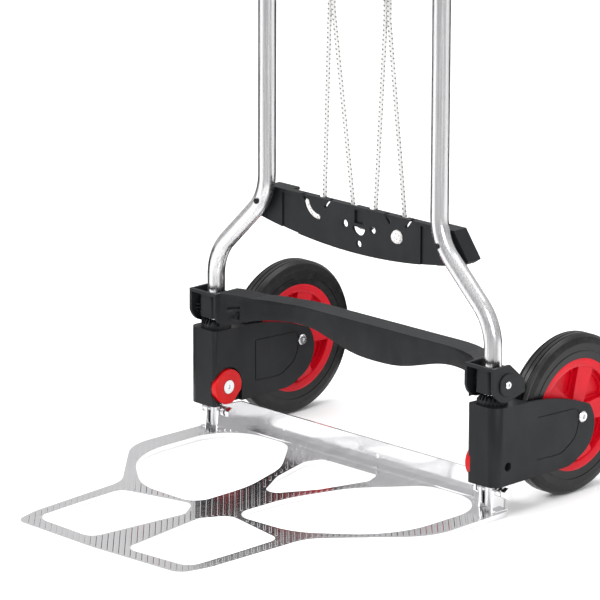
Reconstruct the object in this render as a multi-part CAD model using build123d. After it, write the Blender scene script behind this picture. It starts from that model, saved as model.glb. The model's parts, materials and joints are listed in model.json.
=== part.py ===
from build123d import *
import math
import os

# Folding hand truck, millimetres. X is the width, +Y the back (wheel side), +Z up.
# The geometry is drawn with the main tube axes in the plane y = 0 and moved back by
# TUBE_Y when it is written, so that the origin is the bottom centre of the whole truck.

# --- Driving dimensions ---------------------------------------------------------
TUBE_X = 211.5          # lower tube axis, left and right of the middle
UPPER_X = 131.0         # upper tube axis
TUBE_R = 10.0           # main tube, Ø20 x 1.5
TUBE_BORE_R = 8.5
BEND_LOW_Z = 213.0      # corners of the S bend
BEND_HIGH_Z = 292.5
BEND_R = 62.0
TUBE_BOTTOM_Z = 38.5
TUBE_TOP_Z = 640.0
HINGE_Z = 28.0          # toe plate hinge axis
PIVOT_Z = 150.0         # synchronising bar axis and apex of the bevel gears
WHEEL_R = 90.0
WHEEL_BACK = 119.5      # axle behind the tube axis
WHEEL_OUT = 3.0         # wheel centre plane outboard of the tube axis
PLATE_TOP_Z = 6.0
PLATE_REACH = 391.0     # front edge of the toe plate, forward of the tube axis
FLANGE_Y = 29.5         # front face of the rear flange
CHEEK_IN = 18.0         # fork faces, inboard and outboard of the tube axis
CHEEK_OUT = 24.0
CHEEK_WALL = 3.5
HOUSING_Z0 = 37.5
HOUSING_Z1 = 126.5
HOUSING_FRONT = -20.5
BUSH_R = 12.4
DISC_Z = 58.5
LUG_IN = 8.0            # hinge lugs, from the tube axis
LUG_OUT = 10.5
HANDLE_TOP_Z = 1086.0
LEG_BOTTOM_Z = 572.0
LEG_R = 8.42            # telescopic leg, runs in the main tube
TUBE_Y = (PLATE_REACH - WHEEL_BACK - WHEEL_R) / 2

os.makedirs("parts", exist_ok=True)
PLACE = Pos(0, TUBE_Y, 0)


def save(name, shape):
    """Write one node in its place on the truck."""
    export_step(PLACE * shape, f"parts/{name}.step")


def mirrored(shape):
    return mirror(shape, about=Plane.YZ)


def save_pair(name, shape):
    """Write a right-hand node and its mirror image."""
    save(f"right_{name}", shape)
    save(f"left_{name}", mirrored(shape))


def xbar(x0, x1, y, z, r):
    """Round bar along X between two x positions."""
    return Pos((x0 + x1) / 2, y, z) * Rot(0, 90, 0) * Cylinder(r, abs(x1 - x0))


def ybar(y0, y1, x, z, r):
    """Round bar along Y between two y positions."""
    return Pos(x, (y0 + y1) / 2, z) * Rot(90, 0, 0) * Cylinder(r, abs(y1 - y0))


def zbar(z0, z1, x, y, r):
    """Round bar along Z between two heights."""
    return Pos(x, y, (z0 + z1) / 2) * Cylinder(r, abs(z1 - z0))


def block(x0, x1, y0, y1, z0, z1):
    """Box between two corners."""
    middle = Pos((x0 + x1) / 2, (y0 + y1) / 2, (z0 + z1) / 2)
    return middle * Box(abs(x1 - x0), abs(y1 - y0), abs(z1 - z0))


def hexbar(x0, x1, y, z, flats_r):
    """Hexagonal bar along X."""
    face = RegularPolygon(flats_r, 6, major_radius=False)
    return extrude(Pos(x0, y, z) * Rot(0, 90, 0) * face, amount=x1 - x0)


def side_slab(face, x0, x1):
    """Extrude a face drawn in (y, z) along X."""
    return extrude(Plane.YZ.offset(x0) * face, amount=x1 - x0)


def front_slab(face, y0, y1):
    """Extrude a face drawn in (x, z) backwards along Y."""
    return extrude(Plane.XZ.offset(-y0) * face, amount=-(y1 - y0))


# --- Main tubes -----------------------------------------------------------------
TUBE_POINTS = [
    (TUBE_X, 0, TUBE_BOTTOM_Z),
    (TUBE_X, 0, BEND_LOW_Z),
    (UPPER_X, 0, BEND_HIGH_Z),
    (UPPER_X, 0, TUBE_TOP_Z),
]


def tube_solid(radius):
    path = FilletPolyline(*TUBE_POINTS, radius=BEND_R)
    return sweep(Plane(path @ 0, z_dir=path % 0) * Circle(radius), path=path)


bend_screw_x = UPPER_X + 6.2
bend_screw_z = 287.5
main_tube = tube_solid(TUBE_R) - tube_solid(TUBE_BORE_R)
main_tube -= ybar(-14, 0, bend_screw_x, bend_screw_z, 1.5)
save_pair("main_tube", main_tube)

bend_screw = ybar(-7.2, -12, bend_screw_x, bend_screw_z, 1.5)
bend_screw += ybar(-11.6, -9.6, bend_screw_x, bend_screw_z, 3.2) - tube_solid(TUBE_R)
save_pair("bend_screw", bend_screw)

# Foot: plugs into the tube, carries the fork collar and the hinge pin eye.
foot_bottom = 10.5
foot = zbar(TUBE_BOTTOM_Z, 52, TUBE_X, 0, TUBE_BORE_R)
foot += zbar(foot_bottom, TUBE_BOTTOM_Z, TUBE_X, 0, 7.0)
foot += zbar(36.3, 37.2, TUBE_X, 0, 11.5)
foot -= xbar(TUBE_X - 9, TUBE_X + 9, 0, HINGE_Z, 4.06)
save_pair("tube_foot", foot)

# --- Hinge block and bar pivot ----------------------------------------------------
hinge_block = block(TUBE_X - 10.8, TUBE_X + 10.8, -16.5, 14, PIVOT_Z - 10.6, PIVOT_Z + 15.5)
hinge_block = fillet(hinge_block.edges().filter_by(Axis.Z), 4)
hinge_block += xbar(TUBE_X - 17.2, TUBE_X + 17.2, 0, PIVOT_Z, 11.2)
hinge_block += xbar(TUBE_X - 20.9, TUBE_X + 21.3, 0, PIVOT_Z, 8.0)
hinge_block -= zbar(100, 200, TUBE_X, 0, TUBE_R)
save_pair("hinge_block", hinge_block)

pivot_cap = xbar(TUBE_X + 21.3, TUBE_X + 23.0, 0, PIVOT_Z, 12.5)
pivot_cap = chamfer(pivot_cap.edges().filter_by(GeomType.CIRCLE).group_by(Axis.X)[-1], 0.8)
pivot_cap -= xbar(TUBE_X + 22.0, TUBE_X + 24, 0, PIVOT_Z, 4.4)
pivot_cap -= xbar(TUBE_X + 20, TUBE_X + 24, 0, PIVOT_Z, 2.0)
save_pair("pivot_cap", pivot_cap)

pivot_screw = xbar(TUBE_X + 22.0, TUBE_X + 24.2, 0, PIVOT_Z, 4.2)
pivot_screw = chamfer(pivot_screw.edges().filter_by(GeomType.CIRCLE).group_by(Axis.X)[-1], 0.7)
pivot_screw += xbar(TUBE_X + 21.3, TUBE_X + 22.1, 0, PIVOT_Z, 2.0)
pivot_screw -= hexbar(TUBE_X + 23.0, TUBE_X + 25, 0, PIVOT_Z, 1.6)
save_pair("pivot_screw", pivot_screw)

# --- Bevel gearing ----------------------------------------------------------------
# Mitre gears with a common apex where the bar axis meets the tube axis.  The fork
# ring has teeth on top, the bar cheeks have the mating teeth on their inner faces.
GEAR_IN_R = 12.8
GEAR_OUT_R = 17.0
GEAR_TEETH = 24
TIP = 0.90
ROOT = 1.17


def bevel_tooth(top_r):
    """One tooth along +X under an apex at the origin, its axis pointing down."""
    sections = []
    for r in (GEAR_IN_R, top_r):
        half_tip = r * math.tan(math.radians(1.6))
        half_root = r * math.tan(math.radians(3.4))
        corners = [
            (r, -half_tip, -TIP * r),
            (r, half_tip, -TIP * r),
            (r, half_root, -(ROOT + 0.05) * r),
            (r, -half_root, -(ROOT + 0.05) * r),
        ]
        sections.append(make_face(Polyline(*corners, close=True)))
    return loft(sections)


def bevel_ring(first, last):
    """Teeth on a coned ring; tooth numbers count from +X towards +Y."""
    outline = Polyline(
        (BUSH_R, -ROOT * BUSH_R),
        (GEAR_OUT_R, -ROOT * GEAR_OUT_R),
        (GEAR_OUT_R, -34),
        (BUSH_R, -34),
        close=True,
    )
    ring = revolve(make_face(Plane.XZ * outline), Axis.Z)
    for number in range(first, last + 1):
        ring += Rot(0, 0, number * 360 / GEAR_TEETH) * bevel_tooth(GEAR_OUT_R)
    return ring


# The fork ring turns from outboard to front under the bar, a quarter turn in all.
arm_gear = Pos(TUBE_X, 0, PIVOT_Z) * bevel_ring(-7, 1)
save_pair("arm_gear", arm_gear)

# --- Fork arm ---------------------------------------------------------------------
AXLE_Z = WHEEL_R


def housing_side():
    """Side outline of the fork in (y, z)."""
    front_low = (HOUSING_FRONT, HOUSING_Z0)
    front_high = (HOUSING_FRONT, HOUSING_Z1)
    shoulder = (30, HOUSING_Z1 - 2.0)
    nose = (WHEEL_BACK + 12, 102)
    heel = (WHEEL_BACK - 4, 45)
    lines = [
        Line(front_low, front_high),
        Line(front_high, shoulder),
        ThreePointArc(shoulder, (84, 117.5), nose),
        ThreePointArc(nose, (WHEEL_BACK + 20.5, 80), heel),
        ThreePointArc(heel, (104, 39.4), (91, HOUSING_Z0)),
        Line((91, HOUSING_Z0), front_low),
    ]
    return make_face(lines)


def cheek_panel():
    """Sunk panel outline on both faces of the fork, in (y, z)."""
    points = [(44, 56), (86, 54), (110, 68), (119, 102), (44, 105)]
    return make_face(FilletPolyline(*points, radius=[0.1, 26, 22, 12, 0.1], close=True))


def fork_housing():
    plan = Rectangle(CHEEK_IN + CHEEK_OUT, 165, align=(Align.MIN, Align.MIN))
    plan = Pos(TUBE_X - CHEEK_IN, HOUSING_FRONT) * plan
    front = plan.vertices().sort_by(Axis.Y)[:2].sort_by(Axis.X)
    plan = fillet(front[1], 12)
    front = plan.vertices().sort_by(Axis.Y)[:2].sort_by(Axis.X)
    plan = fillet(front[0], 5)
    body = side_slab(housing_side(), TUBE_X - CHEEK_IN, TUBE_X + CHEEK_OUT)
    body = body & extrude(plan, amount=200)
    slot_in = TUBE_X - CHEEK_IN + CHEEK_WALL
    slot_out = TUBE_X + CHEEK_OUT - CHEEK_WALL
    body -= xbar(slot_in, slot_out, WHEEL_BACK, AXLE_Z, WHEEL_R + 4)
    body -= zbar(0, 200, TUBE_X, 0, BUSH_R)
    body -= zbar(PIVOT_Z - 34, 200, TUBE_X, 0, GEAR_OUT_R)
    groove = cheek_panel() - offset(cheek_panel(), amount=-1.4)
    body -= side_slab(groove, TUBE_X - CHEEK_IN, TUBE_X - CHEEK_IN + 0.8)
    outer_groove = side_slab(groove, TUBE_X + CHEEK_OUT - 0.8, TUBE_X + CHEEK_OUT)
    body -= outer_groove - block(TUBE_X, TUBE_X + 40, 40, 47, 50, 110)
    body -= xbar(TUBE_X - CHEEK_IN - 1, TUBE_X - 12.6, 0, DISC_Z, 22.3)
    body -= block(TUBE_X - CHEEK_IN - 1, TUBE_X - 12.6, -6, 23, HOUSING_Z0 - 1, DISC_Z)
    body -= xbar(TUBE_X + BUSH_R - 1, TUBE_X + CHEEK_OUT + 1, 0, DISC_Z, 5.0)
    body -= xbar(TUBE_X - 40, TUBE_X + 40, WHEEL_BACK, AXLE_Z, 5.0)
    return body


housing = fork_housing()
save_pair("fork_housing", housing)

arm_bush = zbar(64, 115, TUBE_X, 0, BUSH_R) - zbar(0, 200, TUBE_X, 0, TUBE_R + 0.06)
save_pair("arm_bush", arm_bush)

axle_bolt = xbar(TUBE_X - CHEEK_IN - 1.5, TUBE_X + CHEEK_OUT, WHEEL_BACK, AXLE_Z, 5.0)
axle_head = xbar(TUBE_X + CHEEK_OUT, TUBE_X + CHEEK_OUT + 2.6, WHEEL_BACK, AXLE_Z, 6.2)
axle_head = chamfer(axle_head.edges().filter_by(GeomType.CIRCLE).group_by(Axis.X)[-1], 1.1)
axle_bolt += axle_head
axle_bolt -= hexbar(TUBE_X + CHEEK_OUT + 0.8, TUBE_X + CHEEK_OUT + 4, WHEEL_BACK, AXLE_Z, 2.5)
save_pair("axle_bolt", axle_bolt)

axle_nut = xbar(TUBE_X - CHEEK_IN - 2.6, TUBE_X - CHEEK_IN, WHEEL_BACK, AXLE_Z, 6.2)
axle_nut = chamfer(axle_nut.edges().filter_by(GeomType.CIRCLE).group_by(Axis.X)[0], 1.1)
axle_nut -= xbar(TUBE_X - CHEEK_IN - 1.5, TUBE_X, WHEEL_BACK, AXLE_Z, 5.0)
axle_nut -= hexbar(TUBE_X - CHEEK_IN - 4, TUBE_X - CHEEK_IN - 1.5, WHEEL_BACK, AXLE_Z, 2.0)
save_pair("axle_nut", axle_nut)

# Quarter-turn disc in its pocket, with one flat on the rim.
disc_in = TUBE_X - 12.7
disc_out = TUBE_X - 20.8
lock_disc = xbar(disc_out, disc_in, 0, DISC_Z, 20.3)
lock_disc = fillet(lock_disc.edges().filter_by(GeomType.CIRCLE).group_by(Axis.X)[0], 1.4)
flat_cut = Pos(0, 0, DISC_Z) * Rot(45, 0, 0) * block(TUBE_X - 30, TUBE_X, -40, 40, -40, -17.5)
lock_disc -= flat_cut
lock_disc -= xbar(disc_out - 1, disc_in + 1, 0, DISC_Z, 4.06)
lock_disc -= xbar(disc_out - 1, disc_out + 2.2, 0, DISC_Z, 8.6)
save_pair("lock_disc", lock_disc)

disc_screw = xbar(disc_out + 0.2, disc_out + 2.0, 0, DISC_Z, 7.8)
disc_screw += xbar(disc_out + 1.8, TUBE_X - 12.6, 0, DISC_Z, 4.0)
disc_screw -= hexbar(disc_out - 1, disc_out + 1.4, 0, DISC_Z, 2.5)
save_pair("disc_screw", disc_screw)

# --- Wheel ------------------------------------------------------------------------
WHEEL_X = TUBE_X + WHEEL_OUT
RIM_R = 63.0
wheel_place = Pos(WHEEL_X, WHEEL_BACK, AXLE_Z) * Rot(0, 90, 0)


def ring_of(points, axis=Axis.Z):
    """Turn a profile drawn in (radius, width)."""
    return revolve(make_face(Plane.XZ * Polyline(*points, close=True)), axis)


tyre_face = make_face(
    Plane.XZ
    * FilletPolyline(
        (RIM_R, -12.5),
        (70, -13.2),
        (80, -13.6),
        (86.5, -12),
        (WHEEL_R, -7.5),
        (WHEEL_R, 7.5),
        (86.5, 12),
        (80, 13.6),
        (70, 13.2),
        (RIM_R, 12.5),
        radius=[0, 2, 5, 3, 3, 3, 3, 5, 2, 0],
        close=True,
    )
)
tyre = revolve(tyre_face, Axis.Z)
for groove_z in (-6.0, 0.0, 6.0):
    groove = Cylinder(WHEEL_R + 1, 1.3) - Cylinder(WHEEL_R - 1.2, 1.3)
    tyre -= Pos(0, 0, groove_z) * groove
for side in (-1, 1):
    groove = Cylinder(72.5, 2) - Cylinder(71.3, 2)
    tyre -= Pos(0, 0, side * 13.6) * groove
save_pair("tyre", wheel_place * tyre)

hub = ring_of([(54, -11.5), (RIM_R, -12.5), (RIM_R, 12.5), (54, 11.5)])
hub += ring_of([(8, -4), (56, -4), (56, 4), (8, 4)])
hub += ring_of([(8, -16.8), (15, -16.8), (18, -4), (18, 4), (15, 16.8), (8, 16.8)])
SPOKES = 5
spoke_face = make_face(Polyline((14, -9), (58, -13), (58, 13), (14, 9), close=True))
for side in (-1, 1):
    for number in range(SPOKES):
        spoke = extrude(spoke_face, amount=side * 10.5)
        hub += Rot(0, 0, number * 360 / SPOKES + 18) * spoke
window = make_face(FilletPolyline((22, 0), (48, -18), (51.5, 0), (48, 18), radius=5, close=True))
HUB_WEB = 1.5           # half thickness of the disc that closes the pockets
for number in range(SPOKES):
    cut = Pos(0, 0, HUB_WEB) * extrude(window, amount=20)
    hub -= Rot(0, 0, (number + 0.5) * 360 / SPOKES + 18) * cut
    hub -= Rot(0, 0, (number + 0.5) * 360 / SPOKES + 18) * mirror(cut, about=Plane.XY)
hub -= Cylinder(8, 40)
save_pair("hub", wheel_place * hub)

wheel_bush = Cylinder(8, 33.6) - Cylinder(5.06, 34)
save_pair("wheel_bush", wheel_place * wheel_bush)

# --- Synchronising bar --------------------------------------------------------------
CHEEK_GAP = 17.5        # inner face of each bar cheek from the tube axis
BAR_CHEEK = 21.0        # outer face
BAR_FRONT = -22.0
BAR_LIP_TOP = PIVOT_Z + 21.2
BAR_LIP_LOW = PIVOT_Z + 17.6
BAR_X = TUBE_X - BAR_CHEEK
BAR_BOW = 41.0


def half_curve(shift, ends):
    """Bowed plan curve of the bar, symmetrical, at a set distance behind the front face."""
    half = [(BAR_X, ends), (172, 13), (152, 29), (128, 38.5), (85, BAR_BOW), (0, BAR_BOW)]
    points = [(x, y + shift) for x, y in half]
    whole = points + [(-x, y) for x, y in points[-2::-1]]
    return whole


def plan_band(depth, end_front, end_back):
    """Plan face between the front curve and a curve further back."""
    front = half_curve(0, end_front)
    back = half_curve(depth, end_back - depth)
    edges = [
        Spline(*front),
        Line(front[-1], back[-1]),
        Spline(*back[::-1]),
        Line(back[0], front[0]),
    ]
    return make_face(edges)


web = extrude(plan_band(3.6, -15, -8), amount=200)
low = [(BAR_X, 131.5), (165, 137.5), (130, 139), (98, 137), (68, 129.5), (34, 121.5), (0, 119.5)]
low_all = low + [(-x, z) for x, z in low[-2::-1]]
high = [(-BAR_X, BAR_LIP_TOP), (-170, 163), (-140, 160), (140, 160), (170, 163), (BAR_X, BAR_LIP_TOP)]
elevation = make_face([Spline(*low_all), Polyline(low_all[-1], *high, low_all[0])])
bar = web & front_slab(elevation, -60, 100)
shelf = extrude(plan_band(27, -15, 17), amount=200)
shelf_side = make_face(
    [
        Polyline(*high),
        Polyline(high[-1], *[(x, z - 3.4) for x, z in high[::-1]], high[0]),
    ]
)
bar += shelf & front_slab(shelf_side, -60, 100)
bar -= block(-187, -171, -30, 5, 151.5, 154.5)
bar -= ybar(-30, 5, -179.5, 144, 5.0)


def inner_cheek():
    """Inner cheek outline in (y, z)."""
    start = (BAR_FRONT, BAR_LIP_TOP)
    lines = [
        Polyline((16, PIVOT_Z + 2), (16, BAR_LIP_TOP), start, (BAR_FRONT, PIVOT_Z - 3)),
        ThreePointArc((BAR_FRONT, PIVOT_Z - 3), (-14, PIVOT_Z - 15.5), (0, PIVOT_Z - 19)),
        ThreePointArc((0, PIVOT_Z - 19), (11.5, PIVOT_Z - 12), (16, PIVOT_Z + 2)),
    ]
    return make_face(lines)


def outer_cheek():
    """Outer cheek outline in (y, z), drawn out to a blunt point at the back."""
    start = (BAR_FRONT, PIVOT_Z - 3)
    lines = [
        Polyline(start, (BAR_FRONT, BAR_LIP_TOP), (5, BAR_LIP_TOP), (28, 151), (29, 137)),
        Line((29, 137), (8, PIVOT_Z - 18.5)),
        ThreePointArc((8, PIVOT_Z - 18.5), (-10, PIVOT_Z - 17.5), start),
    ]
    return make_face(lines)


def bar_end():
    """Right-hand fork of the bar, with its share of the bevel teeth."""
    end = side_slab(inner_cheek(), TUBE_X - BAR_CHEEK, TUBE_X - CHEEK_GAP)
    end += side_slab(outer_cheek(), TUBE_X + CHEEK_GAP, TUBE_X + BAR_CHEEK)
    end += block(TUBE_X - BAR_CHEEK, TUBE_X + BAR_CHEEK, BAR_FRONT, -18.6, BAR_LIP_LOW, BAR_LIP_TOP)
    for number in range(0, 8):
        tooth = Rot(0, 0, (number - 0.5) * 360 / GEAR_TEETH) * bevel_tooth(GEAR_OUT_R)
        tooth = Rot(0, -90, 0) * Rot(0, 0, 180) * tooth
        end += Pos(TUBE_X, 0, PIVOT_Z) * tooth & side_box()
    end -= xbar(TUBE_X - 30, TUBE_X - 12, 0, PIVOT_Z, 8.06)
    end -= xbar(TUBE_X + 17, TUBE_X + 30, 0, PIVOT_Z, 8.06)
    return end


def side_box():
    """Space between the hinge block and the outer cheek, where bar teeth may stand."""
    return block(TUBE_X + 10, TUBE_X + CHEEK_GAP + 0.5, -30, 30, PIVOT_Z - 30, PIVOT_Z + 30)


right_end = bar_end()
bar = bar + right_end + mirrored(right_end)
save("sync_bar", bar)

# --- Toe plate ----------------------------------------------------------------------


def plate_outline():
    half = [(205, 32), (230, 6), (234, -114), (142, -214), (135, -350), (126, -386), (0, -391)]
    radii = [4, 8, 75, 45, 60, 18]
    points = half + [(-x, y) for x, y in half[-2::-1]]
    return make_face(FilletPolyline(*points, radius=radii + [300] + radii[::-1], close=True))


def plate_windows():
    front = [(11, -245), (29, -215), (122, -235), (121, -300), (118, -364), (27, -369)]
    front_face = make_face(FilletPolyline(*front, radius=[14, 16, 14, 60, 17, 14], close=True))
    side = [(28, -212), (118, -209), (203, -140), (203, 13), (108, 13), (52, -56), (29, -130)]
    side_face = make_face(FilletPolyline(*side, radius=[22, 80, 110, 55, 36, 110, 150], close=True))
    middle = [(0, -140), (33, -82), (50, -22), (42, 0), (-42, 0), (-50, -22), (-33, -82)]
    middle_face = make_face(FilletPolyline(*middle, radius=[13, 40, 12, 9, 9, 12, 40], close=True))
    faces = [front_face, side_face, mirror(front_face, about=Plane.YZ)]
    faces += [mirror(side_face, about=Plane.YZ), middle_face]
    return faces


plate = extrude(plate_outline(), amount=PLATE_TOP_Z)
relief = extrude(offset(plate_outline(), amount=-3.5), amount=PLATE_TOP_Z - 2.6)
for hole in plate_windows():
    plate -= extrude(hole, amount=PLATE_TOP_Z)
    relief -= extrude(offset(hole, amount=3.0), amount=PLATE_TOP_Z)
front_slope = math.degrees(math.atan2(2.2, PLATE_REACH - 190))
above = Pos(0, -190, PLATE_TOP_Z) * Rot(front_slope, 0, 0) * block(-300, 300, -300, 0, 0, 20)
plate -= above
plate -= relief & block(-300, 300, -225, 60, -1, 5)
save("toe_plate", plate)

# Rear flange: a pressing with a foot strip, an upright wall and turned end lugs.
FLANGE_X = TUBE_X - LUG_IN
flange_wall = block(-FLANGE_X, FLANGE_X, FLANGE_Y, FLANGE_Y + 2.5, PLATE_TOP_Z, 33)
flange_foot = block(-FLANGE_X, FLANGE_X, 14, FLANGE_Y, PLATE_TOP_Z, PLATE_TOP_Z + 2)


def lug_face(back_y, back_z):
    """Hinge lug outline in (y, z), round over the pin."""
    eye = Pos(0, HINGE_Z) * Circle(7.4)
    foot_points = [(-9, PLATE_TOP_Z), (back_y, PLATE_TOP_Z), (back_y, back_z), (2, HINGE_Z + 7.1)]
    foot_points += [(-7.2, HINGE_Z)]
    return eye + make_face(Polyline(*foot_points, close=True))


inner_lug = side_slab(lug_face(FLANGE_Y + 2.5, 33), TUBE_X - LUG_OUT, TUBE_X - LUG_IN)
flange = flange_wall + flange_foot + inner_lug + mirrored(inner_lug)
flange -= xbar(-300, 300, 0, HINGE_Z, 4.0)
for hole_x in (-133, 159):
    flange -= ybar(FLANGE_Y - 5, FLANGE_Y + 5, hole_x, 14, 2.0)
flange -= ybar(FLANGE_Y - 5, FLANGE_Y + 5, 13, 15, 2.6)
save("rear_flange", flange)

outer_lug = side_slab(lug_face(9, 22), TUBE_X + LUG_IN, TUBE_X + LUG_OUT)
outer_lug += block(TUBE_X + LUG_OUT, TUBE_X + LUG_OUT + 6, -9, 9, PLATE_TOP_Z, PLATE_TOP_Z + 2)
outer_lug -= xbar(0, 300, 0, HINGE_Z, 4.0)
save_pair("outer_lug", outer_lug)

# Hinge bolts both enter from the left, so the nuts all face +X.
for side_name, centre in (("right", TUBE_X), ("left", -TUBE_X)):
    bolt = xbar(centre - 17, centre + 23, 0, HINGE_Z, 4.0)
    head = hexbar(centre - 20.4, centre - 17, 0, HINGE_Z, 6.0)
    bolt += head
    nut = hexbar(centre + 20, centre + 25.4, 0, HINGE_Z, 6.0)
    nut = nut & xbar(centre + 10, centre + 25.4, 0, HINGE_Z, 6.7)
    nut -= xbar(centre, centre + 23, 0, HINGE_Z, 4.0)
    outward = 1 if centre > 0 else -1
    bolt += xbar(centre + outward * LUG_OUT, centre + outward * 17, 0, HINGE_Z, 5.4)
    save(f"{side_name}_hinge_bolt", bolt)
    save(f"{side_name}_hinge_nut", nut)

# Torsion spring round each bolt, between the inner lug and the bolt end.
coil_x0 = TUBE_X - 16.3
coil_turns = 4
coil_pitch = 1.25
coil = Helix(coil_pitch, coil_pitch * coil_turns, 5.3)
wire = sweep(Plane(coil @ 0, z_dir=coil % 0) * Circle(0.55), path=coil)
hinge_spring = Pos(coil_x0, 0, HINGE_Z) * Rot(0, 90, 0) * wire
save_pair("hinge_spring", hinge_spring)

# --- Middle cross piece ---------------------------------------------------------------
CORD_Y_LOW = 20.0
CORD_Z_LOW = 300.0
PANEL_X = 93.0
MID_FRONT = 11.0
cross_top = 301.5


def cross_outline(inset):
    """Front outline of the cross piece in (x, z)."""
    x1, z1 = 142 - inset, cross_top - inset
    x2, z2 = 164 - inset, 271
    x3, z3 = 155 - inset, 265 + inset
    arc = ThreePointArc((-x3, z3), (0, 248.5 + inset), (x3, z3))
    return make_face([arc, Polyline((x3, z3), (x2, z2), (x1, z1), (-x1, z1), (-x2, z2), (-x3, z3))])


MID_WALL = 3.5          # thickness of the front wall and of the rim behind it
RIM_BACK = 20.0         # back edge of the rim between the tubes
END_BACK = 31.0         # back edge of the two ends, which wrap the tubes
cross = front_slab(cross_outline(0), MID_FRONT, END_BACK)
cross -= front_slab(cross_outline(3.2), MID_FRONT + MID_WALL, 40)
cross -= block(-110, 110, RIM_BACK, 40, 240, 310)
for side in (-1, 1):
    cross -= block(side * PANEL_X, side * 118, MID_FRONT - 1, MID_FRONT + 1.8, 240, 298)
for rib_x in (-104, -34, 34, 104):
    rib = block(rib_x - 1.2, rib_x + 1.2, MID_FRONT + 3, RIM_BACK, 240, 320)
    cross += rib & front_slab(cross_outline(0.5), MID_FRONT, END_BACK)
cross -= tube_solid(TUBE_R)
cross -= mirrored(tube_solid(TUBE_R))

# Slanted nicks in the top edge, in pairs that lean together.
for nick_x, lean_way in ((-84, 1), (-47, -1), (42, 1), (76, -1)):
    nick = Pos(nick_x, MID_FRONT, cross_top - 3) * Rot(0, lean_way * -38, 0) * Box(3.4, 12, 17)
    cross -= nick
for cord_x in (-62.5, -13.5, 13.5, 62.5):
    cross -= block(cord_x - 5, cord_x + 5, 15.5, 26, cross_top - 8, cross_top + 2)
HOLE_X = 21.0
HOLE_Z = 279.5
for hole_x in (-HOLE_X, HOLE_X):
    cross -= ybar(MID_FRONT - 2, MID_FRONT + 6, hole_x, HOLE_Z, 4.4)
cross -= ybar(MID_FRONT - 2, MID_FRONT + 6, 0, 260, 4.0)
cross -= block(-6.5, 6.5, MID_FRONT - 2, MID_FRONT + 2.6, 283, 298)
half_moon = ybar(MID_FRONT - 2, MID_FRONT + 6, 0, 279, 9.5) & block(-12, 12, 0, 30, 266, 279)
cross -= half_moon
KNOT_X = 58.0
KNOT_Z = 279.0
cross -= ybar(MID_FRONT - 2, MID_FRONT + 6, KNOT_X, KNOT_Z, 8.3)
cord_slot_path = ThreePointArc((-79, 0, 294), (-73.5, 0, 284.5), (-62, 0, 279.5))


def slot_tube(radius):
    """Tube with round ends that follows the curved cord slot."""
    tube = sweep(Plane(cord_slot_path @ 0, z_dir=cord_slot_path % 0) * Circle(radius), path=cord_slot_path)
    for end in (0, 1):
        place = cord_slot_path @ end
        tube += Pos(place.X, place.Y, place.Z) * Sphere(radius)
    return tube


slot_middle = MID_FRONT + MID_WALL / 2
cross -= Pos(0, slot_middle, 0) * slot_tube(3.6)
save("middle_cross_piece", cross)

# --- Upper cross piece -----------------------------------------------------------------
UPPER_Z0 = 561.0
UPPER_Z1 = 606.0
upper = block(-152, 152, -17, 17, UPPER_Z0, UPPER_Z1)
upper = fillet(upper.edges().filter_by(Axis.Z), 12)
upper = fillet(upper.edges().filter_by(Axis.X).group_by(Axis.Y)[0], 4)
upper -= block(-112, 112, -13, 18, UPPER_Z0 + 5, UPPER_Z1 - 4)
upper -= zbar(500, 700, UPPER_X, 0, TUBE_R)
upper -= zbar(500, 700, -UPPER_X, 0, TUBE_R)
upper -= ybar(-20, -10, 0, 584, 11.3)
guide = ybar(-13, 6, 0, 584, 14) - ybar(-14, 7, 0, 584, 11.3)
upper += guide + block(-16, 16, 6, 9, 566, 602) + block(-2, 2, 9, 13, UPPER_Z0, UPPER_Z1)
save("upper_cross_piece", upper)

button = ybar(-21, -4, 0, 584, 11.2)
button = fillet(button.edges().filter_by(GeomType.CIRCLE).group_by(Axis.Y)[0], 2)
save("release_button", button)

# Clips that hold the two folds of the cord.
CORD_R = 2.5
CLIP_X = 42.0
CLIP_Z = 544.0
FOLD_R = 2.75           # half the spacing of the two strands inside a clip
FOLD_Z = 552.0
CORD_Y_HIGH = 10.0
for side_name, clip_x in (("left", -CLIP_X), ("right", CLIP_X)):
    clip = block(clip_x - 9, clip_x + 9, CORD_Y_HIGH - 6, CORD_Y_HIGH + 6, CLIP_Z, UPPER_Z0)
    clip = fillet(clip.edges().filter_by(Axis.Z), 3)
    room = CORD_R + 0.5
    clip -= block(clip_x - FOLD_R - room, clip_x + FOLD_R + room, CORD_Y_HIGH - room,
                  CORD_Y_HIGH + room, CLIP_Z - 1, FOLD_Z + FOLD_R + room)
    save(f"{side_name}_cord_clip", clip)

collar = zbar(UPPER_Z1, UPPER_Z1 + 30, UPPER_X, 0, TUBE_R + 3) - zbar(500, 700, UPPER_X, 0, TUBE_R)
collar = chamfer(collar.edges().filter_by(GeomType.CIRCLE).group_by(Axis.Z)[-1], 1.0)
save_pair("tube_collar", collar)

# --- Elastic cord -------------------------------------------------------------------------
# One cord: from the left end behind the middle cross piece up to the left clip, folded and
# down, round behind the middle of the cross piece, and the same again on the right.
MEET_Z = 519.0          # height where the two strands of a pair come together
LOOP_X = 14.5           # the loop behind the middle of the cross piece
LOOP_Z = 276.5
ANCHOR_X = 62.0
cord_lean = (CORD_Y_LOW - CORD_Y_HIGH) / (MEET_Z - CORD_Z_LOW)


def on_lean(x, z):
    """Point of the leaning cord plane, which stands upright above the meeting height."""
    return (x, max(CORD_Y_HIGH, CORD_Y_LOW - cord_lean * (z - CORD_Z_LOW)), z)


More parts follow.
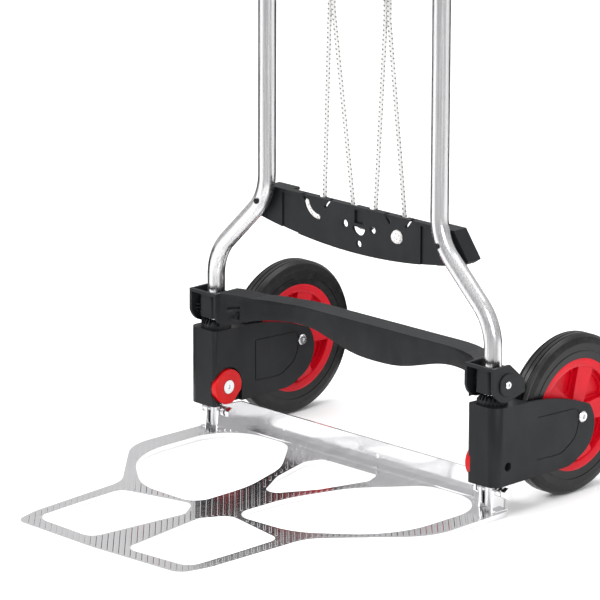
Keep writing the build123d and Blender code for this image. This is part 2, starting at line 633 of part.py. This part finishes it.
right_points = [
    on_lean(ANCHOR_X, CORD_Z_LOW - 14),
    on_lean(CLIP_X + FOLD_R, MEET_Z),
    on_lean(CLIP_X + FOLD_R, FOLD_Z + FOLD_R),
    on_lean(CLIP_X - FOLD_R, FOLD_Z + FOLD_R),
    on_lean(CLIP_X - FOLD_R, MEET_Z),
    on_lean(LOOP_X, LOOP_Z),
]
left_points = [(-x, y, z) for x, y, z in right_points[::-1]]
fold_radii = [60, FOLD_R * 0.99, FOLD_R * 0.99, 60]
route = FilletPolyline(
    *right_points,
    *left_points,
    radius=[*fold_radii, 12, 12, *fold_radii],
)
cord = sweep(Plane(route @ 0, z_dir=route % 0) * Circle(CORD_R), path=route)
save("elastic_cord", cord)

# The right end is knotted in its hole; the left end lies in its curved slot.
knot = Pos(KNOT_X, MID_FRONT + 2, KNOT_Z) * Sphere(8.0)
save("right_cord_knot", knot)
save("left_cord_end", Pos(0, slot_middle, 0) * slot_tube(3.1))

# --- Telescopic handle -----------------------------------------------------------------
handle_points = [
    (UPPER_X, 0, LEG_BOTTOM_Z),
    (UPPER_X, 0, HANDLE_TOP_Z),
    (-UPPER_X, 0, HANDLE_TOP_Z),
    (-UPPER_X, 0, LEG_BOTTOM_Z),
]
handle_path = FilletPolyline(*handle_points, radius=48)
handle = sweep(Plane(handle_path @ 0, z_dir=handle_path % 0) * Circle(LEG_R), path=handle_path)
handle -= sweep(Plane(handle_path @ 0, z_dir=handle_path % 0) * Circle(LEG_R - 1.5), path=handle_path)
save("handle_tube", handle)

grip = xbar(-80, 80, 0, HANDLE_TOP_Z, 14) - xbar(-90, 90, 0, HANDLE_TOP_Z, LEG_R)
grip = fillet(grip.edges().filter_by(GeomType.CIRCLE).filter_by(lambda e: e.radius > 13), 4)
save("handle_grip", grip)

plug = zbar(LEG_BOTTOM_Z - 2, LEG_BOTTOM_Z, UPPER_X, 0, LEG_R - 0.3)
plug += zbar(LEG_BOTTOM_Z, LEG_BOTTOM_Z + 12, UPPER_X, 0, LEG_R - 1.5)
save_pair("leg_plug", plug)
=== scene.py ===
"""Looks of the folding hand truck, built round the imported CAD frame. Everything is in metres."""
import json
import math

import bpy
from mathutils import Matrix, Vector
from mathutils.bvhtree import BVHTree


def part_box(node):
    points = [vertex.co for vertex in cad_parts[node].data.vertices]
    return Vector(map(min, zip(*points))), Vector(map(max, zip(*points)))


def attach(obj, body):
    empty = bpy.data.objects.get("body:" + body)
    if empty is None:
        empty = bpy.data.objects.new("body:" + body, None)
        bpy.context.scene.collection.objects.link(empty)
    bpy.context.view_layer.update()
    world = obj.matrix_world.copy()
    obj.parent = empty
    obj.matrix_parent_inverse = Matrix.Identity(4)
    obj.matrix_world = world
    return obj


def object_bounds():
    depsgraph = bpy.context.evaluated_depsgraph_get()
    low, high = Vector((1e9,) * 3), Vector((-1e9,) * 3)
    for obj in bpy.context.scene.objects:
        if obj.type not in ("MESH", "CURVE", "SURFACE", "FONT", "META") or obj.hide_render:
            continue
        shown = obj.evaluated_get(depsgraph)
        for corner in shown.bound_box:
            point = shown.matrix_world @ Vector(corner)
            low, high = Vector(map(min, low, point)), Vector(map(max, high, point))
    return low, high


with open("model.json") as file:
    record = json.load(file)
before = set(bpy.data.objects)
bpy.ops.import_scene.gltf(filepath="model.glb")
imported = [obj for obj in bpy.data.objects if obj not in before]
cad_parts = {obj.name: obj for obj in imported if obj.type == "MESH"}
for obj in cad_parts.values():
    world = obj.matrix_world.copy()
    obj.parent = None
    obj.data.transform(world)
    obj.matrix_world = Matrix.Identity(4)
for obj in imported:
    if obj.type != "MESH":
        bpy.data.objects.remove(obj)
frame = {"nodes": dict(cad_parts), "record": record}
nodes = frame["nodes"]
cad_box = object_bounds()
scene = bpy.context.scene

TUBE_Y = 0.09075        # plane of the two main tubes

# --- Camera --------------------------------------------------------------------------------
CAMERA_TURN = math.radians(44.52)
CAMERA_UP = math.radians(15.57)
CAMERA_ROLL = math.radians(0.19)
CAMERA_DISTANCE = 5.6673
LENS_MM = 306.2
SENSOR_MM = 36
CAMERA_REACH = 60       # furthest distance that the camera draws
target = Vector((-0.07894, TUBE_Y, 0.18284))

turn_sin, turn_cos = math.sin(CAMERA_TURN), math.cos(CAMERA_TURN)
up_sin, up_cos = math.sin(CAMERA_UP), math.cos(CAMERA_UP)
back = Vector((turn_sin * up_cos, -turn_cos * up_cos, up_sin))
right = Vector((turn_cos, turn_sin, 0))
up = Vector((-turn_sin * up_sin, turn_cos * up_sin, up_cos))
rolled_right = math.cos(CAMERA_ROLL) * right + math.sin(CAMERA_ROLL) * up
rolled_up = math.cos(CAMERA_ROLL) * up - math.sin(CAMERA_ROLL) * right
camera_data = bpy.data.cameras.new("camera")
camera_data.lens = LENS_MM
camera_data.sensor_width = SENSOR_MM
camera_data.clip_end = CAMERA_REACH
camera = bpy.data.objects.new("camera", camera_data)
place = Matrix((rolled_right, rolled_up, back)).transposed().to_4x4()
place.translation = target + CAMERA_DISTANCE * back
camera.matrix_world = place
scene.collection.objects.link(camera)
scene.camera = camera


# --- Node helpers --------------------------------------------------------------------------
class Nodes:
    """A material's node tree, with short calls that add and join nodes."""

    def __init__(self, name):
        self.material = bpy.data.materials.new(name)
        self.material.use_nodes = True
        self.tree = self.material.node_tree
        self.shader = self.tree.nodes["Principled BSDF"]
        self.place = self.tree.nodes.new("ShaderNodeTexCoord").outputs["Object"]

    def set(self, **values):
        """Constants on the shader's own sockets, underscores for spaces."""
        for name, value in values.items():
            self.shader.inputs[name.replace("_", " ")].default_value = value

    def put(self, socket, value):
        """Feeds a socket from another socket or with a constant."""
        if isinstance(value, bpy.types.NodeSocket):
            self.tree.links.new(value, socket)
        else:
            socket.default_value = value

    def stretch(self, scale, turn=(0, 0, 0)):
        """Object coordinates, turned and scaled by a different amount on each axis."""
        node = self.tree.nodes.new("ShaderNodeMapping")
        self.put(node.inputs["Vector"], self.place)
        node.inputs["Scale"].default_value = scale
        node.inputs["Rotation"].default_value = turn
        return node.outputs[0]

    def noise(self, scale, detail=3.0, vector=None, rough=0.5):
        """Noise value of the given scale, in object coordinates unless a vector is given."""
        node = self.tree.nodes.new("ShaderNodeTexNoise")
        self.put(node.inputs["Vector"], vector or self.place)
        node.inputs["Scale"].default_value = scale
        node.inputs["Detail"].default_value = detail
        node.inputs["Roughness"].default_value = rough
        return node.outputs[0]

    def voronoi(self, scale):
        """Distance to the nearest of a scatter of cell centres."""
        node = self.tree.nodes.new("ShaderNodeTexVoronoi")
        self.put(node.inputs["Vector"], self.place)
        node.inputs["Scale"].default_value = scale
        return node.outputs["Distance"]

    def math(self, how, first, second=0.0, clamp=False):
        """One sum on two values."""
        node = self.tree.nodes.new("ShaderNodeMath")
        node.operation = how
        node.use_clamp = clamp
        self.put(node.inputs[0], first)
        self.put(node.inputs[1], second)
        return node.outputs[0]

    def ramp(self, value, low, high, to_low, to_high):
        """Maps low..high to to_low..to_high, held at both ends."""
        node = self.tree.nodes.new("ShaderNodeMapRange")
        for number, entry in enumerate((value, low, high, to_low, to_high)):
            self.put(node.inputs[number], entry)
        return node.outputs[0]

    def mix(self, share, first, second):
        """Blend of two colours."""
        node = self.tree.nodes.new("ShaderNodeMix")
        node.data_type = "RGBA"
        colours = [socket for socket in node.inputs if socket.type == "RGBA"]
        self.put(node.inputs[0], share)
        self.put(colours[0], first if hasattr(first, "links") else (*first, 1))
        self.put(colours[1], second if hasattr(second, "links") else (*second, 1))
        return [socket for socket in node.outputs if socket.type == "RGBA"][0]

    def separate(self, vector):
        """The X, Y and Z of a vector."""
        node = self.tree.nodes.new("ShaderNodeSeparateXYZ")
        self.put(node.inputs[0], vector)
        return node.outputs

    def bump(self, height, distance):
        """Surface relief from a height value, of the given depth in metres."""
        node = self.tree.nodes.new("ShaderNodeBump")
        self.put(node.inputs["Height"], height)
        node.inputs["Distance"].default_value = distance
        self.tree.links.new(node.outputs[0], self.shader.inputs["Normal"])

    def colour(self, value):
        """Base colour of the shader."""
        self.put(self.shader.inputs["Base Color"], value)

    def roughness(self, value):
        """Roughness of the shader."""
        self.put(self.shader.inputs["Roughness"], value)


# --- Materials -----------------------------------------------------------------------------
def tube_material():
    """Satin drawn aluminium: fine streaks along the tube, faint handling marks."""
    m = Nodes("tube_satin")
    m.set(Metallic=1.0, Anisotropic=0.35)
    streaks = m.noise(900, 3, m.stretch((1, 1, 0.012)))
    blotches = m.noise(14, 4)
    m.colour(m.mix(m.ramp(streaks, 0.3, 0.7, 0, 1), (0.50, 0.50, 0.51), (0.70, 0.70, 0.71)))
    m.roughness(m.math("ADD", m.ramp(streaks, 0.3, 0.7, 0.16, 0.26),
                       m.ramp(blotches, 0.35, 0.7, 0, 0.08)))
    m.bump(streaks, 0.00003)
    return m.material


def polished_material(name, rough_low, rough_high, tint):
    """Polished sheet or plated steel, with fine scratches."""
    m = Nodes(name)
    m.set(Metallic=1.0)
    scratches = m.noise(500, 4, m.stretch((1, 0.04, 1), (0, 0, 0.6)))
    smudges = m.noise(9, 4)
    m.colour(m.mix(m.ramp(smudges, 0.3, 0.7, 0, 1), tint, [c * 0.9 for c in tint]))
    m.roughness(m.math("ADD", m.ramp(scratches, 0.3, 0.7, rough_low, rough_high),
                       m.ramp(smudges, 0.4, 0.8, 0, 0.05)))
    m.bump(scratches, 0.00001)
    return m.material


def plastic_material(name, dark, light, rough, grain, grain_depth):
    """Moulded plastic: fine eroded grain, and a tone that drifts in broad patches."""
    m = Nodes(name)
    m.set(Specular_IOR_Level=0.2)
    fine = m.noise(grain, 4, rough=0.7)
    broad = m.noise(22, 3)
    flow = m.noise(60, 5, m.stretch((1, 1, 0.25)))
    tone = m.math("ADD", m.ramp(fine, 0.25, 0.75, -0.15, 0.35),
                  m.ramp(broad, 0.3, 0.7, 0, 0.5))
    tone = m.math("ADD", tone, m.ramp(flow, 0.35, 0.7, 0, 0.25), clamp=True)
    m.colour(m.mix(tone, dark, light))
    m.roughness(m.ramp(fine, 0.25, 0.75, rough - 0.06, rough + 0.1))
    m.bump(fine, grain_depth)
    return m.material


def rubber_material():
    """Solid rubber tyre: dark and satin, with fine grain and grey scuffing."""
    m = Nodes("tyre_rubber")
    m.set(Specular_IOR_Level=0.32)
    fine = m.noise(1500, 3, rough=0.7)
    scuff = m.noise(90, 5, rough=0.7)
    m.colour(m.mix(m.ramp(scuff, 0.5, 0.8, 0, 1), (0.003, 0.003, 0.0035),
                   (0.016, 0.016, 0.017)))
    m.roughness(m.ramp(scuff, 0.3, 0.8, 0.26, 0.5))
    m.bump(m.math("ADD", fine, scuff), 0.00006)
    return m.material


FLECK_PITCH = 1150.0     # spiral phase per metre of height
WEAVE_PITCH = 5200.0


def cord_material():
    """White braid with dark flecks that cross in two spirals."""
    m = Nodes("cord_braid")
    m.set(Roughness=0.75, Sheen_Weight=0.3)
    normal = m.tree.nodes.new("ShaderNodeTexCoord").outputs["Normal"]
    x, y, _ = m.separate(normal)
    height = m.separate(m.place)[2]
    angle = m.math("ARCTAN2", y, x)
    rise = m.math("MULTIPLY", height, FLECK_PITCH)
    left = m.math("SINE", m.math("ADD", rise, m.math("MULTIPLY", angle, 2.0)))
    opposite = m.math("SINE", m.math("SUBTRACT", rise, m.math("MULTIPLY", angle, 2.0)))
    fleck = m.math("MULTIPLY", m.ramp(left, 0.25, 0.55, 0, 1),
                   m.ramp(opposite, -0.1, 0.3, 0, 1))
    fine = m.math("SINE", m.math("ADD", m.math("MULTIPLY", height, WEAVE_PITCH),
                                 m.math("MULTIPLY", angle, 6.0)))
    weave = m.ramp(fine, -1, 1, 0, 1)
    white = m.mix(weave, (0.62, 0.61, 0.60), (0.86, 0.86, 0.84))
    m.colour(m.mix(fleck, white, (0.035, 0.03, 0.035)))
    m.bump(m.math("ADD", weave, m.math("MULTIPLY", fleck, 0.5)), 0.0004)
    return m.material


def knot_material():
    """Pulled-tight end of the braid: white with scattered dark specks."""
    m = Nodes("cord_knot")
    m.set(Roughness=0.8)
    cells = m.voronoi(420)
    threads = m.noise(700, 3, rough=0.7)
    white = m.mix(m.ramp(threads, 0.3, 0.7, 0, 1), (0.55, 0.54, 0.53), (0.88, 0.88, 0.86))
    speck = m.math("MULTIPLY", m.ramp(cells, 0.42, 0.30, 0, 1),
                   m.ramp(threads, 0.46, 0.54, 0, 1))
    m.colour(m.mix(speck, white, (0.03, 0.027, 0.03)))
    m.bump(m.math("ADD", cells, threads), 0.0006)
    return m.material


def foam_material():
    """Closed-cell grip foam."""
    m = Nodes("grip_foam")
    cells = m.voronoi(900)
    m.colour(m.mix(m.ramp(cells, 0, 0.7, 0, 1), (0.012, 0.012, 0.012), (0.04, 0.04, 0.042)))
    m.roughness(m.ramp(cells, 0, 0.7, 0.85, 0.6))
    m.bump(cells, 0.0003)
    return m.material


finishes = {
    "tube": tube_material(),
    "plate": polished_material("plate_polished", 0.10, 0.20, (0.80, 0.80, 0.81)),
    "zinc": polished_material("zinc_bright", 0.12, 0.24, (0.74, 0.74, 0.75)),
    "nylon": plastic_material("nylon_black", (0.0035, 0.004, 0.0048), (0.013, 0.0145, 0.017),
                              0.42, 1400, 0.00008),
    "bush_plastic": plastic_material("bush_cream", (0.60, 0.58, 0.52), (0.78, 0.76, 0.70),
                                     0.40, 900, 0.00003),
    "hub_red": plastic_material("hub_red", (0.42, 0.001, 0.008), (0.60, 0.002, 0.014),
                                0.34, 700, 0.00003),
    "lock_red": plastic_material("lock_red", (0.42, 0.003, 0.005), (0.58, 0.006, 0.007),
                                 0.36, 700, 0.00003),
    "tyre_black": rubber_material(),
    "cord_white": cord_material(),
    "grip_black": foam_material(),
}
slots = {row["node"]: row["material_slot"] for row in frame["record"]["subparts"]}
for name, node in nodes.items():
    node.data.materials.clear()
    node.data.materials.append(finishes[slots[name]])
knot_finish = knot_material()
for name in ("right_cord_knot", "left_cord_end"):
    nodes[name].data.materials[0] = knot_finish


# --- Softened edges of the moulded parts ---------------------------------------------------
WELD_GAP = 0.00002
EDGE_ROUND = 0.0006
SHARP_ANGLE = math.radians(40)


def soften(name):
    """Joins the CAD mesh's split corners, then rounds its sharp edges a little."""
    weld = nodes[name].modifiers.new("weld", "WELD")
    weld.merge_threshold = WELD_GAP
    bevel = nodes[name].modifiers.new("bevel", "BEVEL")
    bevel.width = EDGE_ROUND
    bevel.segments = 2
    bevel.limit_method = "ANGLE"
    bevel.angle_limit = SHARP_ANGLE
    bevel.harden_normals = True


for name, slot in slots.items():
    if slot in ("nylon", "hub_red") and "cap" not in name:
        soften(name)


# --- Tread ribs on the toe plate -----------------------------------------------------------
RIB_PITCH = 0.0062
RIB_HALF = 0.0017       # half width at the foot
RIDGE_SHARE = 0.45      # half width of the flat ridge, as a share of that
RIB_RISE = 0.0004
RIB_SINK = 0.0001       # how far the foot goes into the plate
RIB_INSET = 0.0001      # how far the ridge stops short at each end
RIB_MARGIN = 0.0034     # plain border left round the edge and the windows
RIB_BACK = TUBE_Y + 0.008
RIB_STEPS = 3           # a run of this many steps or fewer gets no rib
STEP = 0.001            # spacing of the ray casts along a rib
CAST_FROM = 0.05        # height that they start from

plate_mesh = nodes["toe_plate"].data
plate_tree = BVHTree.FromPolygons([v.co for v in plate_mesh.vertices],
                                  [p.vertices for p in plate_mesh.polygons])
along = Vector((1, -1, 0)).normalized()
across = Vector((1, 1, 0)).normalized()


def top_at(point):
    """Height of the plate's top face under a point, or None off the plate."""
    hit = plate_tree.ray_cast(Vector((point.x, point.y, CAST_FROM)), Vector((0, 0, -1)))
    return hit[0].z if hit[0] is not None and hit[1].z > 0.5 else None


def rib_height(point):
    """Top height where the plate also reaches a margin away on all sides."""
    here = top_at(point)
    if here is None or point.y > RIB_BACK:
        return None
    for way in (along, -along, across, -across):
        if top_at(point + way * RIB_MARGIN) is None:
            return None
    return here


def add_rib(corners, faces, first, last, low, high):
    """One raised rib with sloping sides and a flat ridge, between two points."""
    base = len(corners)
    half = across * RIB_HALF
    for point, height, inset in ((first, low, 1), (last, high, -1)):
        for offset in (-1, 1):
            spot = point + half * offset
            corners.append((spot.x, spot.y, height - RIB_SINK))
        for offset in (RIDGE_SHARE, -RIDGE_SHARE):
            spot = point + half * offset + along * inset * RIB_INSET
            corners.append((spot.x, spot.y, height + RIB_RISE))
    ends = [(0, 1, 2, 3), (4, 7, 6, 5)]
    sides = [(0, 4, 5, 1), (1, 5, 6, 2), (2, 6, 7, 3), (3, 7, 4, 0)]
    faces.extend([tuple(base + i for i in face) for face in ends + sides])


plate_low, plate_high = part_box("toe_plate")
reach = max(plate_high.x, -plate_low.y) * 1.5
corners, faces = [], []
for row in range(int(-reach / RIB_PITCH), int(reach / RIB_PITCH) + 1):
    run = []
    for step in range(int(-reach / STEP), int(reach / STEP) + 1):
        point = across * row * RIB_PITCH + along * step * STEP
        inside_x = plate_low.x < point.x < plate_high.x
        inside_y = plate_low.y < point.y < plate_high.y
        height = rib_height(point) if inside_x and inside_y else None
        if height is not None:
            run.append((point, height))
            continue
        if len(run) > RIB_STEPS:
            add_rib(corners, faces, run[0][0], run[-1][0], run[0][1], run[-1][1])
        run = []
rib_mesh = bpy.data.meshes.new("tread_ribs")
rib_mesh.from_pydata(corners, [], faces)
rib_mesh.update()
ribs = bpy.data.objects.new("tread_ribs", rib_mesh)
ribs.data.materials.append(finishes["plate"])
scene.collection.objects.link(ribs)
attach(ribs, "toe_plate_body")


# --- Stage ---------------------------------------------------------------------------------
def stage_material(name, shade):
    """Matt paper in a grey shade, with a faint mottle."""
    m = Nodes(name)
    colour = (shade, shade, shade)
    mottle = m.noise(3, 2)
    m.colour(m.mix(m.ramp(mottle, 0.3, 0.7, 0, 1), colour, [c * 0.985 for c in colour]))
    m.set(Specular_IOR_Level=0.0)
    m.roughness(1.0)
    return m.material


def sheet_object(name, corners, material):
    """A single flat face of the stage."""
    mesh = bpy.data.meshes.new(name)
    mesh.from_pydata(corners, [], [tuple(range(len(corners)))])
    mesh.materials.append(material)
    piece = bpy.data.objects.new(name, mesh)
    scene.collection.objects.link(piece)
    return piece


FLOOR = 30.0            # half side of the floor
FLOOR_GAP = 0.0002
FLOOR_SHADE = 0.93
floor_z = cad_box[0][2] - FLOOR_GAP
floor_corners = [(side_x * FLOOR, side_y * FLOOR, floor_z)
                 for side_x, side_y in ((-1, -1), (1, -1), (1, 1), (-1, 1))]
sheet_object("floor", floor_corners, stage_material("floor_white", FLOOR_SHADE))

# The world is a little darker at the horizon than overhead.
SKY_STRENGTH = 0.95
scene.view_settings.view_transform = "Standard"
world = bpy.data.worlds.new("world")
scene.world = world
world.use_nodes = True
world_nodes = world.node_tree
background = world_nodes.nodes["Background"]
direction = world_nodes.nodes.new("ShaderNodeTexCoord").outputs["Generated"]
split = world_nodes.nodes.new("ShaderNodeSeparateXYZ")
world_nodes.links.new(direction, split.inputs[0])
sky = world_nodes.nodes.new("ShaderNodeValToRGB")
world_nodes.links.new(split.outputs[2], sky.inputs[0])
sky.color_ramp.elements[0].position = 0.0
sky.color_ramp.elements[0].color = (0.62, 0.62, 0.63, 1)
sky.color_ramp.elements[1].position = 0.75
sky.color_ramp.elements[1].color = (1.0, 1.0, 1.0, 1)
world_nodes.links.new(sky.outputs[0], background.inputs["Color"])
background.inputs["Strength"].default_value = SKY_STRENGTH


def area_light(name, place_at, aim, size, power):
    """A soft rectangular lamp."""
    data = bpy.data.lights.new(name, "AREA")
    data.shape = "RECTANGLE"
    data.size, data.size_y = size
    data.energy = power
    lamp = bpy.data.objects.new(name, data)
    lamp.location = place_at
    lamp.rotation_euler = (Vector(aim) - Vector(place_at)).to_track_quat("-Z", "Y").to_euler()
    scene.collection.objects.link(lamp)


area_light("key", (-1.6, -1.8, 2.4), (0, 0, 0.2), (1.6, 1.6), 70)
area_light("fill", (2.6, -1.0, 1.4), (0, 0, 0.2), (0.8, 2.0), 40)
area_light("top", (0.2, 0.6, 3.0), (0, 0, 0), (2.4, 2.4), 60)


def hide_card(card):
    """Leaves a card to the reflections alone."""
    card.visible_camera = False
    card.visible_diffuse = False
    card.visible_shadow = False


def dark_card(name, middle, facing, width, height, shade):
    """A dark studio card that only the shiny metal sees."""
    ahead = Vector(facing).normalized()
    side = ahead.cross(Vector((0, 0, 1))).normalized()
    rise = side.cross(ahead)
    corners = [Vector(middle) + sx * side * width / 2 + sy * rise * height / 2
               for sx, sy in ((-1, -1), (1, -1), (1, 1), (-1, 1))]
    card = sheet_object(name, corners, stage_material(name, shade))
    hide_card(card)


# The dark part of the toe plate is a card behind the truck, where the plate mirrors it.
CARD_AWAY = 2.0
CARD_SHADE = 0.02
CARD_ASIDE = 0.140
CARD_DROP = Vector((0, 0, 0.035))
CARD_WIDE, CARD_HIGH = 0.36, 0.20
view_flat = Vector((-turn_sin, turn_cos, 0))
mirror_way = (view_flat * up_cos + Vector((0, 0, up_sin))).normalized()
plate_middle = Vector((0.0, -0.12, 0.006))
back_middle = plate_middle + mirror_way * CARD_AWAY + right * CARD_ASIDE - CARD_DROP
dark_card("card_back", back_middle, -mirror_way, CARD_WIDE, CARD_HIGH, CARD_SHADE)

# A second card stands for what the plate mirrors by way of the flange.
FLANGE_BEHIND = 0.19    # from the middle of the plate to the flange
FLANGE_MIDDLE_Z = 0.02
FLANGE_CARD_WIDE, FLANGE_CARD_HIGH = 0.42, 0.10
flange_way = Vector((mirror_way.x, -mirror_way.y, mirror_way.z))
flange_middle = Vector((0, plate_middle.y + FLANGE_BEHIND, FLANGE_MIDDLE_Z))
dark_card("card_flange", flange_middle + flange_way * CARD_AWAY, -flange_way,
          FLANGE_CARD_WIDE, FLANGE_CARD_HIGH, CARD_SHADE)


WEDGE_SIDES = 12


def floor_wedge(name, middle_turn, half_turn, near, far, shade):
    """A card on the floor, a ring sector round the object, which only reflections see."""
    inner, outer = [], []
    for number in range(WEDGE_SIDES + 1):
        turn = middle_turn + half_turn * (2 * number / WEDGE_SIDES - 1)
        way = Vector((math.cos(turn), math.sin(turn), 0))
        centre = Vector((target.x, target.y, 0))
        inner.append(centre + way * near)
        outer.append(centre + way * far)
    hide_card(sheet_object(name, inner + outer[::-1], stage_material(name, shade)))


# The wedge behind darkens the tubes' edges, the one in front greys their middles.
ahead_turn = math.atan2(view_flat.y, view_flat.x)
floor_wedge("mat_back", ahead_turn, math.radians(74), 0.30, 3.0, 0.01)
floor_wedge("mat_front", ahead_turn + math.pi, math.radians(58), 0.55, 4.0, 0.42)
